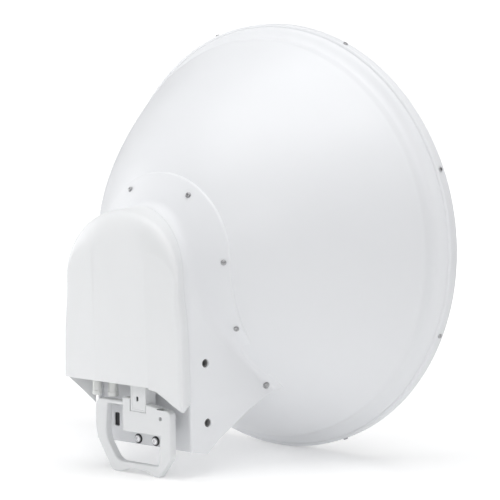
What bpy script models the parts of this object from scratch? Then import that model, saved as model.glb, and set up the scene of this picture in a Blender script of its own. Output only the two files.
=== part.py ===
"""A deep-dish microwave antenna that stands on its rim and its carry handle.

The dish frame has its origin on the dish axis in the plane of the reflector's flange. +Y runs along
the axis out through the radome, +X is to the right seen from behind and +Z is up. The whole antenna
leans back by LEAN, because the handle's feet reach less far down than the rim.
"""

import math

import bmesh
import bpy
from mathutils import Matrix, Vector
from mathutils.bvhtree import BVHTree

MM = 0.001
SEAT_GAP = 0.3 * MM

# Dish
RIM_RADIUS = 325 * MM
BAND_WIDTH = 15 * MM
BAND_EDGE = 2.3 * MM
BAND_ROUND = 6 * MM
FLANGE_RADIUS = 320.5 * MM
BOWL_RADIUS = 303 * MM
BOWL_DEPTH = 310.6 * MM
BOWL_CURVE = 330.6 * MM
SHEET = 2.4 * MM
FEED_HOLE_RADIUS = 32 * MM
RADOME_CROWN = 30 * MM
RADOME_WALL = 3 * MM
ROUND_SEGMENTS = 96
RIM_SCREWS = 8
RIM_SCREW_RADIUS = 3.6 * MM
RIM_SCREW_HEIGHT = 2.6 * MM

# Hub, the housing between the dish and the radio
HUB_REAR_Y = -316 * MM
HUB_CREST = 79.5 * MM
HUB_ARCH_CENTRE = -15 * MM
HUB_HALF_WIDTH = 77.5 * MM
HUB_KNEE = -105 * MM
HUB_KNEE_HALF_WIDTH = 86.4 * MM
HUB_FOOT_HALF_WIDTH = 92.5 * MM
HUB_BOTTOM = -275 * MM
HUB_LOW = -293 * MM
HUB_UNDERSIDE = [(-286 * MM, -281 * MM), (-262 * MM, -261.5 * MM), (-202.5 * MM, -224.5 * MM),
                 (-175.5 * MM, -212.5 * MM), (60 * MM, -108 * MM)]
HUB_DRAFT = math.tan(math.radians(9))
HUB_FLANGE_RADIUS = 124.5 * MM
HUB_FLANGE_THICK = 3 * MM
HUB_FILLET = 15 * MM
HUB_WALL = 4 * MM
HUB_RECESS = 7 * MM
HUB_SCREW_RADIUS = 4.2 * MM
HUB_SCREW_HEIGHT = 3 * MM
HUB_SCREWS = {"crest": (55.5 * MM, 96 * MM), "waist": (117.5 * MM, 2 * MM), "flank": (117 * MM, -99 * MM)}
FOOT_SCREW = (107.5 * MM, -194 * MM)
FOOT_POCKET_RADIUS = 5.2 * MM
FOOT_POCKET_ANGLE = math.radians(36)
BRACKET_HOLE_RADIUS = 6.4 * MM
BRACKET_HOLE_DEPTH = 16 * MM
BRACKET_HOLES = {"upper": (-285.3 * MM, -147 * MM), "lower": (-284.1 * MM, -235 * MM)}

# Radio cover
FACE_Y = -373 * MM
FACE_HALF_WIDTH = 49 * MM
LIP_Y = -365.5 * MM
LIP_HALF_WIDTH = 109.5 * MM
LIP_KNEE_HALF_WIDTH = 114.5 * MM
LIP_FOOT_HALF_WIDTH = 116.5 * MM
LIP_CREST = 75.5 * MM
LIP_ARCH_CENTRE = -25 * MM
LIP_ARCH_POWER = 2.25
LIP_ROUND = 5 * MM
CREST_ROUND = 27 * MM
CREST_WALL_ROUND = 22 * MM
COVER_STEP = 1.2 * MM
COVER_WALL = 3 * MM
COVER_LOW = -245 * MM
COVER_BOTTOM = -177 * MM
COVER_SLOPE_Y = -358.6 * MM
COVER_HEEL = -223 * MM
FLAP_EDGE = [(50 * MM, -177 * MM), (62 * MM, -179.5 * MM), (78 * MM, -187 * MM), (98 * MM, -199 * MM),
             (106 * MM, -202.5 * MM), (112 * MM, -206 * MM)]
FLAP_HEEL = -211.2 * MM

# Radio, ports and handle
RADIO_HALF_WIDTH = 72 * MM
RADIO_TOP = 0 * MM
RADIO_BOTTOM = -176 * MM
RADIO_REAR_Y = -354 * MM
RADIO_DEEP_Y = -362 * MM
RADIO_BAY_TOP = -150 * MM
HANDLE_REAR_Y = -341.8 * MM
HANDLE_DEPTH = 13.5 * MM
HANDLE_HALF_WIDTH = 73 * MM
HANDLE_INNER = 53 * MM
HANDLE_TOP = -207.5 * MM
HANDLE_BAR_Z = -297.5 * MM
HANDLE_FOOT_Z = -313.5 * MM
HANDLE_BAR = 6 * MM
PLATE_LEFT = -20 * MM
PLATE_BOTTOM = -251.6 * MM
PLATE_WALL = 3 * MM
PORT_LEFT = -4 * MM
PORT_RIGHT = 25 * MM
PORT_BOTTOM = -220 * MM
BOLT_X = 16.7 * MM
BOLT_Z = -268 * MM
BOLT_RADIUS = 6.6 * MM

LEAN = math.atan2(RIM_RADIUS + HANDLE_FOOT_Z, BAND_EDGE - HANDLE_REAR_Y)

WHITE_PAINT = (0.80, 0.81, 0.83, 1.0)
COVER_WHITE = (0.80, 0.81, 0.81, 1.0)
LIGHT_GREY = (0.62, 0.63, 0.62, 1.0)
STEEL = (0.55, 0.55, 0.56, 1.0)


def clear_scene():
    for obj in list(bpy.data.objects):
        bpy.data.objects.remove(obj, do_unlink=True)


def paint(name, colour, roughness, metallic):
    found = bpy.data.materials.get(name)
    if found:
        return found
    made = bpy.data.materials.new(name)
    made.use_nodes = True
    shader = made.node_tree.nodes["Principled BSDF"]
    shader.inputs["Base Color"].default_value = colour
    shader.inputs["Roughness"].default_value = roughness
    shader.inputs["Metallic"].default_value = metallic
    return made


def add_object(name, bm, material, root, sharp=35):
    bmesh.ops.remove_doubles(bm, verts=bm.verts, dist=1e-6)
    bmesh.ops.recalc_face_normals(bm, faces=bm.faces)
    mesh = bpy.data.meshes.new(name)
    bm.to_mesh(mesh)
    bm.free()
    mesh.shade_smooth()
    mesh.set_sharp_from_angle(angle=math.radians(sharp))
    obj = bpy.data.objects.new(name, mesh)
    bpy.context.scene.collection.objects.link(obj)
    obj.parent = root
    if material:
        mesh.materials.append(material)
    return obj


def cut(obj, cutter):
    cutter.hide_render = True
    cutter.display_type = "WIRE"
    boolean = obj.modifiers.new("cut " + cutter.name, "BOOLEAN")
    boolean.operation = "DIFFERENCE"
    boolean.solver = "EXACT"
    boolean.object = cutter


def turned(profile, segments=ROUND_SEGMENTS):
    """A solid of revolution about the Y axis from a closed profile of (radius, y) points."""
    bm = bmesh.new()
    rings = []
    for radius, y in profile:
        if radius == 0:
            rings.append([bm.verts.new((0, y, 0))] * segments)
            continue
        angles = [2 * math.pi * k / segments for k in range(segments)]
        rings.append([bm.verts.new((radius * math.cos(a), y, radius * math.sin(a))) for a in angles])
    for this, following in zip(rings, rings[1:] + rings[:1]):
        for k in range(segments):
            corners = [this[k], this[(k + 1) % segments], following[(k + 1) % segments], following[k]]
            unique = list(dict.fromkeys(corners))
            if len(unique) > 2:
                bm.faces.new(unique)
    return bm


def prism(outline, y0, y1):
    """A solid between two planes of constant y from an outline of (x, z) points."""
    bm = bmesh.new()
    near = [bm.verts.new((x, y0, z)) for x, z in outline]
    face = bm.faces.new(near)
    pushed = bmesh.ops.extrude_face_region(bm, geom=[face])
    moved = [v for v in pushed["geom"] if isinstance(v, bmesh.types.BMVert)]
    bmesh.ops.translate(bm, verts=moved, vec=(0, y1 - y0, 0))
    return bm


def side_prism(outline, half_width):
    """A solid across the antenna from an outline of (y, z) points."""
    bm = bmesh.new()
    near = [bm.verts.new((-half_width, y, z)) for y, z in outline]
    face = bm.faces.new(near)
    pushed = bmesh.ops.extrude_face_region(bm, geom=[face])
    moved = [v for v in pushed["geom"] if isinstance(v, bmesh.types.BMVert)]
    bmesh.ops.translate(bm, verts=moved, vec=(2 * half_width, 0, 0))
    return bm


def box(x0, x1, y0, y1, z0, z1, bevel=0.0):
    bm = bmesh.new()
    size = Vector((x1 - x0, y1 - y0, z1 - z0))
    centre = Vector((x0 + x1, y0 + y1, z0 + z1)) / 2
    bmesh.ops.create_cube(bm, size=1.0)
    bmesh.ops.scale(bm, vec=size, verts=bm.verts)
    bmesh.ops.translate(bm, vec=centre, verts=bm.verts)
    if bevel:
        bmesh.ops.bevel(bm, geom=bm.edges[:], offset=bevel, segments=2, profile=0.5, affect="EDGES")
    return bm


def rod(radius, length, centre, direction, segments=24, edge=0.0):
    """A short cylinder with its outer end rounded off, pointing along direction."""
    bm = bmesh.new()
    bmesh.ops.create_cone(bm, cap_ends=True, segments=segments, radius1=radius, radius2=radius, depth=length)
    if edge:
        top = [e for e in bm.edges if all(v.co.z > 0 for v in e.verts)]
        bmesh.ops.bevel(bm, geom=top, offset=edge, segments=2, profile=0.5, affect="EDGES")
    turn = Vector((0, 0, 1)).rotation_difference(Vector(direction)).to_matrix().to_4x4()
    bmesh.ops.transform(bm, matrix=Matrix.Translation(centre) @ turn, verts=bm.verts)
    return bm


def bowl_y(radius):
    """The reflector's back surface."""
    return radius * radius / BOWL_CURVE - BOWL_DEPTH


def bowl_normal(x, z):
    """The direction that points away from the back of the bowl."""
    return Vector((2 * x / BOWL_CURVE, -1.0, 2 * z / BOWL_CURVE)).normalized()


def bowl_rings(inner, outer, count):
    return [inner + (outer - inner) * k / count for k in range(count + 1)]


def bowl_profile(inner, offset):
    """Points of the back surface, moved along the surface's normal by offset."""
    points = []
    for radius in bowl_rings(inner, BOWL_RADIUS, 14):
        normal = bowl_normal(radius, 0)
        points.append((radius + normal.x * offset, bowl_y(radius) + normal.y * offset))
    return points


def make_reflector(root):
    back = bowl_profile(FEED_HOLE_RADIUS, 0)
    front = bowl_profile(FEED_HOLE_RADIUS, -SHEET)
    notch = bowl_y(BOWL_RADIUS)
    neck = [(BOWL_RADIUS + 1.2 * MM, notch * 0.6), (BOWL_RADIUS + 2.4 * MM, notch * 0.25),
            (BOWL_RADIUS + 5 * MM, notch * 0.06), (BOWL_RADIUS + 9 * MM, 0)]
    rim = [(FLANGE_RADIUS, 0), (FLANGE_RADIUS, BAND_WIDTH * 0.7), (FLANGE_RADIUS - SHEET, BAND_WIDTH * 0.7),
           (FLANGE_RADIUS - SHEET, SHEET), (BOWL_RADIUS + 8 * MM, SHEET), (BOWL_RADIUS + 1 * MM, SHEET * 0.4)]
    profile = back + neck + rim + front[::-1]
    return add_object("reflector", turned(profile), paint("dish_paint", WHITE_PAINT, 0.45, 0.0), root)


def make_radome(root):
    edge = BAND_EDGE
    turn = BAND_ROUND
    inner = FLANGE_RADIUS + SEAT_GAP
    outer = [(inner, 0), (RIM_RADIUS - edge, 0), (RIM_RADIUS - edge * 0.3, edge * 0.3), (RIM_RADIUS, edge)]
    outer.append((RIM_RADIUS, BAND_WIDTH))
    for angle in (30, 60, 90):
        a = math.radians(angle)
        outer.append((RIM_RADIUS - turn * (1 - math.cos(a)), BAND_WIDTH + turn * math.sin(a)))
    face_radius = RIM_RADIUS - turn
    dome = []
    for share in (0.84, 0.68, 0.52, 0.36, 0.2):
        dome.append((face_radius * share, BAND_WIDTH + turn + RADOME_CROWN * (1 - share * share)))
    crown = BAND_WIDTH + turn + RADOME_CROWN
    inside = [(0, crown - RADOME_WALL)] + [(r, y - RADOME_WALL) for r, y in dome[::-1]]
    inside.append((inner - 2 * MM, BAND_WIDTH + turn - RADOME_WALL))
    inside.append((inner, BAND_WIDTH))
    profile = outer + dome + [(0, crown)] + inside
    return add_object("radome", turned(profile), paint("radome_plastic", WHITE_PAINT, 0.5, 0.0), root)


def make_rim_screws(root):
    steel = paint("screw_steel", STEEL, 0.35, 0.9)
    for k in range(RIM_SCREWS):
        angle = 2 * math.pi * (k + 0.5) / RIM_SCREWS
        out = Vector((math.cos(angle), 0, math.sin(angle)))
        centre = out * (RIM_RADIUS + SEAT_GAP + RIM_SCREW_HEIGHT / 2) + Vector((0, BAND_WIDTH / 2, 0))
        bm = rod(RIM_SCREW_RADIUS, RIM_SCREW_HEIGHT, centre, out, 12, 0.8 * MM)
        add_object("rim_screw_%d" % (k + 1), bm, steel, root)


def arched_outline(half_width, knee_half_width, foot_half_width, crest, centre, bottom, power=2, steps=10):
    """The right half of an arched outline of (x, z) points, from the crest down to the bottom corner.

    Below the arch the side widens in a gentle curve as far as the knee and is straight from there down.
    """
    points = []
    for k in range(steps + 1):
        angle = math.radians(90 - 90 * k / steps)
        points.append((half_width * math.cos(angle) ** (2 / power),
                       centre + (crest - centre) * math.sin(angle) ** (2 / power)))
    reach = centre - HUB_KNEE
    slope = (foot_half_width - knee_half_width) / (HUB_KNEE - bottom) * reach
    for k in range(1, 6):
        t = k / 5
        widen = (3 * t * t - 2 * t ** 3) * (knee_half_width - half_width) + (t ** 3 - t * t) * slope
        points.append((half_width + widen, centre - reach * t))
    points.append((foot_half_width, bottom))
    return points


def closed_outline(half):
    """The whole outline from its right half."""
    return half + [(-x, z) for x, z in half[:0:-1]]


def lofted(rings, front_point, rear_point=None):
    """A solid from closed rings of points, ended by a fan at the front and a face or fan at the rear."""
    bm = bmesh.new()
    loops = [[bm.verts.new(p) for p in ring] for ring in rings]
    count = len(loops[0])
    for this, following in zip(loops, loops[1:]):
        for k in range(count):
            n = (k + 1) % count
            bm.faces.new((this[k], this[n], following[n], following[k]))
    ends = [(loops[-1], front_point), (loops[0], rear_point)]
    for loop, point in ends:
        if point is None:
            bm.faces.new(loop)
            continue
        tip = bm.verts.new(point)
        for k in range(count):
            bm.faces.new((loop[k], loop[(k + 1) % count], tip))
    return bm


def hub_section(rear, flange):
    """One line of the hub's skin from its rear edge over the fillet to the flange and into the dish."""
    start = Vector(rear)
    outward = Vector(flange) - start
    reach = max(outward.length, 1e-6)
    outward = outward / reach
    depth = bowl_y(math.hypot(*flange))
    slope = 2 * max(Vector(flange).dot(outward), 0) / BOWL_CURVE
    top = depth - HUB_FLANGE_THICK * math.hypot(1, 2 * math.hypot(*flange) / BOWL_CURVE)
    meet = (top - slope * reach - HUB_REAR_Y) / (1 / HUB_DRAFT - slope)
    meet = min(meet, reach - 2 * MM)
    corner_y = HUB_REAR_Y + meet / HUB_DRAFT
    back = min(HUB_FILLET, (corner_y - HUB_REAR_Y) * 0.6)
    ahead = min(HUB_FILLET, (reach - meet) * 0.6)
    first = Vector((meet - back * math.sin(math.atan(HUB_DRAFT)), corner_y - back))
    corner = Vector((meet, corner_y))
    last = Vector((meet + ahead * math.cos(math.atan(slope)), corner_y + ahead * math.sin(math.atan(slope))))
    line = [Vector((0, HUB_REAR_Y)), first]
    for t in (0.33, 0.67):
        line.append(first * (1 - t) ** 2 + corner * 2 * t * (1 - t) + last * t * t)
    line += [last, Vector((reach, top)), Vector((reach, depth + 6 * MM))]
    return [(start.x + outward.x * u, y, start.y + outward.y * u) for u, y in line]


def hub_rear_outline(step, low):
    """The right half of the hub's rear edge, or with a step the cover's edge around it."""
    return arched_outline(HUB_HALF_WIDTH + step, HUB_KNEE_HALF_WIDTH + step, HUB_FOOT_HALF_WIDTH + step,
                          HUB_CREST + step, HUB_ARCH_CENTRE, low)


def make_hub(root):
    low = HUB_LOW
    rear = hub_rear_outline(0, low)
    flange = arched_outline(HUB_FLANGE_RADIUS, HUB_FLANGE_RADIUS, HUB_FLANGE_RADIUS, HUB_FLANGE_RADIUS, 0, low)
    sections = [hub_section(r, f) for r, f in zip(closed_outline(rear), closed_outline(flange))]
    rings = [[section[k] for section in sections] for k in range(len(sections[0]))]
    bm = lofted(rings, (0, BOWL_DEPTH * -0.5, -60 * MM))
    hub = add_object("hub", bm, paint("hub_paint", WHITE_PAINT, 0.5, 0.0), root)

    skin = bowl_profile(FEED_HOLE_RADIUS, SEAT_GAP)
    ahead = 60 * MM
    seat = turned([(0, skin[0][1])] + skin + [(BOWL_RADIUS + 4 * MM, ahead), (0, ahead)])
    cut(hub, add_object("hub_dish_seat", seat, None, root))

    below = [(-0.4, HUB_BOTTOM), (HUB_REAR_Y, HUB_BOTTOM)] + HUB_UNDERSIDE + [(ahead, -0.5), (-0.4, -0.5)]
    cut(hub, add_object("hub_underside_cut", side_prism(below, 0.2), None, root))

    inner = [(x - HUB_WALL * (1 if x > 0 else -1 if x < 0 else 0), z - HUB_WALL * (1 if z > -20 * MM else 0))
             for x, z in closed_outline(rear)]
    cut(hub, add_object("hub_recess_cut", prism(inner, HUB_REAR_Y - 5 * MM, HUB_REAR_Y + HUB_RECESS), None, root))

    for side in (1, -1):
        for place, (y, z) in BRACKET_HOLES.items():
            wall_x = side * bracket_wall_x(y, z)
            centre = (wall_x, y, z)
            hole = rod(BRACKET_HOLE_RADIUS, 2 * BRACKET_HOLE_DEPTH, centre, (side, 0, 0), 20)
            cut(hub, add_object("hub_hole_%s_%s" % (place, "right" if side > 0 else "left"), hole, None, root))
        seat, axis = foot_screw_seat(side)
        reach = 40 * MM
        pocket = rod(FOOT_POCKET_RADIUS, reach, seat + axis * reach / 2, axis, 20)
        cut(hub, add_object("hub_pocket_%s" % ("right" if side > 0 else "left"), pocket, None, root))
    return hub


def foot_screw_seat(side):
    """The floor of the pocket in a corner of the hub's wall and the direction it faces."""
    x, z = side * FOOT_SCREW[0], FOOT_SCREW[1]
    axis = Vector((side * math.sin(FOOT_POCKET_ANGLE), -math.cos(FOOT_POCKET_ANGLE), 0))
    return Vector((x, bowl_y(math.hypot(x, z)), z)) + axis * 2 * HUB_FLANGE_THICK, axis


def bracket_wall_x(y, z):
    """How far out the flat part of the hub's side wall lies at a depth and height."""
    widen = (HUB_FOOT_HALF_WIDTH - HUB_KNEE_HALF_WIDTH) * (HUB_KNEE - z) / (HUB_KNEE - HUB_LOW)
    return HUB_KNEE_HALF_WIDTH + widen + (y - HUB_REAR_Y) * HUB_DRAFT


def screw_seat(skin, x, z):
    """The point and normal of the hub's flange seen from behind at a place."""
    place, normal, index, distance = skin.ray_cast(Vector((x, HUB_REAR_Y - 50 * MM, z)), Vector((0, 1, 0)))
    return place, normal


def make_hub_screws(root, hub):
    steel = paint("screw_steel", STEEL, 0.35, 0.9)
    skin = BVHTree.FromPolygons([v.co for v in hub.data.vertices], [p.vertices for p in hub.data.polygons])
    for side, word in ((1, "right"), (-1, "left")):
        seats = {place: screw_seat(skin, side * x, z) for place, (x, z) in HUB_SCREWS.items()}
        seats["foot"] = foot_screw_seat(side)
        for place, (seat, normal) in seats.items():
            centre = seat + normal * (1.5 * SEAT_GAP + HUB_SCREW_HEIGHT / 2)
            bm = rod(HUB_SCREW_RADIUS, HUB_SCREW_HEIGHT, centre, normal, 12, 1 * MM)
            add_object("hub_screw_%s_%s" % (place, word), bm, steel, root)


def face_y(x):
    """The depth of the cover's rear face, which is flat in the middle and falls away in a facet each side."""
    slope = (LIP_Y - FACE_Y) / (LIP_HALF_WIDTH - FACE_HALF_WIDTH)
    return FACE_Y + max(0, abs(x) - FACE_HALF_WIDTH) * slope


def cover_line(seam, lip, inward, inset, front_y):
    """One line of the cover's skin from its seam over the rounded lip onto the rear face."""
    seam = Vector(seam)
    fall = (Vector(lip) - seam) / (LIP_Y - HUB_REAR_Y)
    corner_y = LIP_Y + inset
    for _ in range(4):
        corner = seam + fall * (corner_y - HUB_REAR_Y)
        corner_y = face_y(corner.x) + inset
    rise = max(0, -inward.y) ** 1.2
    on_face = LIP_ROUND + (CREST_ROUND - LIP_ROUND) * rise - inset / 2
    on_wall = LIP_ROUND + (CREST_WALL_ROUND - LIP_ROUND) * rise - inset / 2
    wall = seam + fall * (corner_y + on_wall - HUB_REAR_Y)
    start = Vector((wall.x, corner_y + on_wall, wall.y))
    face = corner + inward * on_face
    end = Vector((face.x, face_y(face.x) + inset, face.y))
    middle = Vector((corner.x, corner_y, corner.y))
    foot = seam + fall * (front_y - HUB_REAR_Y)
    line = [Vector((foot.x, front_y, foot.y)), start]
    for t in (0.25, 0.5, 0.75):
        line.append(start * (1 - t) ** 2 + middle * 2 * t * (1 - t) + end * t * t)
    return line + [end]


def cover_form(inset, front_y, low):
    """The cover's outer form, or with an inset the hollow inside it, before its underside is cut."""
    seam = closed_outline(hub_rear_outline(COVER_STEP - inset, low))
    lip = closed_outline(arched_outline(LIP_HALF_WIDTH - inset, LIP_KNEE_HALF_WIDTH - inset,
                                        LIP_FOOT_HALF_WIDTH - inset, LIP_CREST - inset, LIP_ARCH_CENTRE, low,
                                        LIP_ARCH_POWER))
    count = len(seam)
    lines = []
    for k in range(count):
        along = Vector(lip[(k + 1) % count]) - Vector(lip[k - 1])
        inward = Vector((along.y, -along.x)).normalized()
        lines.append(cover_line(seam[k], lip[k], inward, inset, front_y))
    bm = bmesh.new()
    loops = [[bm.verts.new(line[i]) for line in lines] for i in range(len(lines[0]))]
    for this, following in zip(loops, loops[1:]):
        for k in range(count):
            n = (k + 1) % count
            bm.faces.new((this[k], this[n], following[n], following[k]))
    bm.faces.new(loops[0])
    close_rear_face(bm, loops[-1], inset)
    return bm


def close_rear_face(bm, loop, inset):
    """Closes the cover's rear with a flat middle face and a facet at each side of it."""
    ring = []
    for k, vert in enumerate(loop):
        ring.append(vert)
        following = loop[(k + 1) % len(loop)]
        edge = bm.edges.get((vert, following))
        crossings = [s * FACE_HALF_WIDTH for s in (1, -1)]
        crossings = [x for x in crossings if (vert.co.x - x) * (following.co.x - x) < 0]
        crossings.sort(key=lambda x: abs(x - vert.co.x))
        here = vert
        for x in crossings:
            share = (x - here.co.x) / (following.co.x - here.co.x)
            edge, made = bmesh.utils.edge_split(edge, here, share)
            made.co = Vector((x, FACE_Y + inset, made.co.z))
            edge = bm.edges.get((made, following))
            ring.append(made)
            here = made
    limit = FACE_HALF_WIDTH
    bm.faces.new([v for v in ring if abs(v.co.x) <= limit + 1e-6])
    bm.faces.new([v for v in ring if v.co.x >= limit - 1e-6])
    bm.faces.new([v for v in ring if v.co.x <= 1e-6 - limit])


def make_cover(root):
    bm = cover_form(0, HUB_REAR_Y - SEAT_GAP, COVER_LOW)
    cover = add_object("radio_cover", bm, paint("cover_plastic", COVER_WHITE, 0.42, 0.0), root)
    far = 0.4
    ahead = HUB_REAR_Y + 10 * MM
    fall = (COVER_HEEL - COVER_BOTTOM) / (HUB_REAR_Y - COVER_SLOPE_Y)
    below = [(-far, COVER_BOTTOM), (COVER_SLOPE_Y, COVER_BOTTOM), (ahead, COVER_HEEL + fall * 10 * MM),
             (ahead, -far), (-far, -far)]
    middle_cut = side_prism(below, far)
    for v in middle_cut.verts:
        v.co.x = min(v.co.x, FLAP_EDGE[0][0])
    cut(cover, add_object("cover_underside_cut", middle_cut, None, root))
    inner_x = FLAP_EDGE[0][0] - 1 * MM
    edge = [(inner_x, COVER_BOTTOM)] + FLAP_EDGE + [(far, FLAP_EDGE[-1][1]), (far, -far), (inner_x, -far)]
    flap_cut = prism(edge, -far, ahead)
    for v in flap_cut.verts:
        if v.co.y > HUB_REAR_Y and v.co.z > -far:
            v.co.z += FLAP_HEEL - FLAP_EDGE[-1][1]
    cut(cover, add_object("cover_flap_cut", flap_cut, None, root))
    hollow = cover_form(COVER_WALL, HUB_REAR_Y + 5 * MM, COVER_LOW - 20 * MM)
    cut(cover, add_object("cover_hollow", hollow, None, root))
    return cover


def make_radio(root):
    front = HUB_REAR_Y + HUB_RECESS - SEAT_GAP
    profile = [(front, RADIO_BOTTOM), (front, RADIO_TOP), (RADIO_DEEP_Y, RADIO_TOP),
               (RADIO_DEEP_Y, RADIO_BAY_TOP), (RADIO_REAR_Y, RADIO_BAY_TOP), (RADIO_REAR_Y, RADIO_BOTTOM)]
    body = side_prism(profile, RADIO_HALF_WIDTH)
    bmesh.ops.bevel(body, geom=body.edges[:], offset=2 * MM, segments=2, profile=0.5, affect="EDGES")
    grey = paint("radio_metal", LIGHT_GREY, 0.5, 0.6)
    add_object("radio_body", body, grey, root)
    hang = RADIO_BOTTOM - SEAT_GAP
    gland = paint("gland_metal", STEEL, 0.35, 0.8)
    for name, radius, x, y, end in (("gland_small", 5.5 * MM, -65.5 * MM, -347 * MM, -201 * MM),
                                    ("gland_large", 8.5 * MM, -47 * MM, -332 * MM, -204 * MM)):
        length = hang - end
        bm = rod(radius, length, (x, y, hang - length / 2), (0, 0, -1), 24, 1 * MM)
        add_object(name, bm, gland, root)
    block = box(PORT_LEFT, PORT_RIGHT, HANDLE_REAR_Y + 0.5 * MM, -318 * MM, PORT_BOTTOM, hang, 1 * MM)
    add_object("port_block", block, grey, root)


def rounded(corners, steps=4):
    """An outline of (x, z) points from corners of (x, z, radius), each corner turned into an arc."""
    points = []
    for k, (x, z, radius) in enumerate(corners):
        corner = Vector((x, z))
        before = Vector(corners[k - 1][:2]) - corner
        after = Vector(corners[(k + 1) % len(corners)][:2]) - corner
        if radius == 0:
            points.append((x, z))
            continue
        half = before.angle(after) / 2
        start = before.normalized() * (radius / math.tan(half))
        end = after.normalized() * (radius / math.tan(half))
        for i in range(steps + 1):
            t = i / steps
            bent = start * (1 - t) ** 2 + end * t * t
            points.append(tuple(corner + bent))
    return points


def handle_outer():
    w = HANDLE_HALF_WIDTH
    foot = HANDLE_FOOT_Z
    gap = SEAT_GAP
    arch_top = foot + 6.5 * MM
    return rounded([(-w, HANDLE_TOP, 14 * MM), (-w, -261 * MM, 26 * MM), (-41 * MM, foot, 5 * MM),
                    (-26 * MM, foot, 8 * MM), (-8 * MM, arch_top, 14 * MM), (26 * MM, arch_top, 14 * MM),
                    (40 * MM, foot, 8 * MM), (50 * MM, foot, 3 * MM), (w, -284 * MM, 12 * MM),
                    (w, HANDLE_TOP - 6 * MM, 9 * MM), (PORT_RIGHT + gap, HANDLE_TOP, 0),
                    (PORT_RIGHT + gap, PORT_BOTTOM - gap, 0), (PORT_LEFT - gap, PORT_BOTTOM - gap, 0),
                    (PORT_LEFT - gap, HANDLE_TOP, 0)])


def handle_inner():
    i = HANDLE_INNER
    top = HANDLE_TOP - HANDLE_BAR
    return rounded([(4 * MM - i, top, 3 * MM), (-i, -262 * MM, 10 * MM), (-29 * MM, HANDLE_BAR_Z, 14 * MM),
                    (i - 4 * MM, HANDLE_BAR_Z, 4 * MM), (i, PLATE_BOTTOM, 0), (PLATE_LEFT, PLATE_BOTTOM, 0),
                    (PLATE_LEFT, top, 0)])


def make_handle(root):
    plastic = paint("handle_plastic", COVER_WHITE, 0.45, 0.0)
    front = HANDLE_REAR_Y + HANDLE_DEPTH
    beyond = 5 * MM
    bm = prism(handle_outer(), HANDLE_REAR_Y, front)
    for v in bm.verts:
        if v.co.y > HANDLE_REAR_Y + HANDLE_DEPTH / 2 and v.co.z < HANDLE_BAR_Z:
            v.co.z -= HANDLE_DEPTH * math.tan(LEAN)
    ring = add_object("handle", bm, plastic, root)
    opening = prism(handle_inner(), HANDLE_REAR_Y - beyond, front + beyond)
    cut(ring, add_object("handle_opening", opening, None, root))
    pocket = box(PLATE_LEFT + PLATE_WALL, HANDLE_INNER, HANDLE_REAR_Y + PLATE_WALL, front + beyond,
                 PLATE_BOTTOM + PLATE_WALL, PORT_BOTTOM - SEAT_GAP - PLATE_WALL)
    cut(ring, add_object("handle_plate_pocket", pocket, None, root))


def make_bolts(root):
    steel = paint("bolt_steel", STEEL, 0.35, 0.9)
    seat = HUB_REAR_Y + HUB_RECESS - SEAT_GAP
    for side, word in ((1, "right"), (-1, "left")):
        bm = rod(BOLT_RADIUS, 5 * MM, (side * BOLT_X, seat - 2.5 * MM, BOLT_Z), (0, -1, 0), 20, 1.6 * MM)
        add_object("handle_bolt_" + word, bm, steel, root)


def stand(root, foremost, rearmost):
    """Leans the antenna back onto its rim and its handle and centres it over the origin."""
    lean = Matrix.Rotation(LEAN, 3, "X")
    front = max((lean @ v.co).y for v in foremost.data.vertices)
    rear = min((lean @ v.co).y for v in rearmost.data.vertices)
    root.rotation_euler = (LEAN, 0, 0)
    root.location = (0, -(rear + front) / 2, RIM_RADIUS * math.cos(LEAN) - BAND_EDGE * math.sin(LEAN))


def build():
    clear_scene()
    root = bpy.data.objects.new("antenna_axis", None)
    bpy.context.scene.collection.objects.link(root)
    make_reflector(root)
    radome = make_radome(root)
    make_rim_screws(root)
    hub = make_hub(root)
    make_hub_screws(root, hub)
    cover = make_cover(root)
    make_radio(root)
    make_handle(root)
    make_bolts(root)
    stand(root, radome, cover)
    bpy.context.view_layer.update()


build()
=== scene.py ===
import math

import bmesh
import bpy
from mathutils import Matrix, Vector


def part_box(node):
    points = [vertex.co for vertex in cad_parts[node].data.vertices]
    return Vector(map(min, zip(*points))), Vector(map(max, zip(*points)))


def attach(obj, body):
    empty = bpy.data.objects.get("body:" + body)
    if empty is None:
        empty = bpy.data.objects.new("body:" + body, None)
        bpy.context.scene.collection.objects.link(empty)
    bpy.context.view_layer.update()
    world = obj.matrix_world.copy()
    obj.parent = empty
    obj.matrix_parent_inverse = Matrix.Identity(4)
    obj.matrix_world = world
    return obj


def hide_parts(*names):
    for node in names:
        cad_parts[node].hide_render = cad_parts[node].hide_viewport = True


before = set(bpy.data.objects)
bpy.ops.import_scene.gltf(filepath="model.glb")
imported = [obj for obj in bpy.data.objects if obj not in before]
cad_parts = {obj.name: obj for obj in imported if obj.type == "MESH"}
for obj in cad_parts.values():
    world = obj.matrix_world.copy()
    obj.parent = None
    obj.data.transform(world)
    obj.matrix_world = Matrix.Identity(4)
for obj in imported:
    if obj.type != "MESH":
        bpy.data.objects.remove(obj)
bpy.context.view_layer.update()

# The dish frame: origin on the axis at the rim's flange, +Y out through the radome, +Z up.
MM = 0.001
LEAN = math.radians(1.914142)
AXIS_PLACE = Vector((0, 0.161241, 0.324742))

# Points nearer than these are one point, and cutters reach FAR past the part. Lists of points are in mm.
NEAR = 0.01 * MM
NEARER = 0.001 * MM
FAR = 0.4

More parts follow.
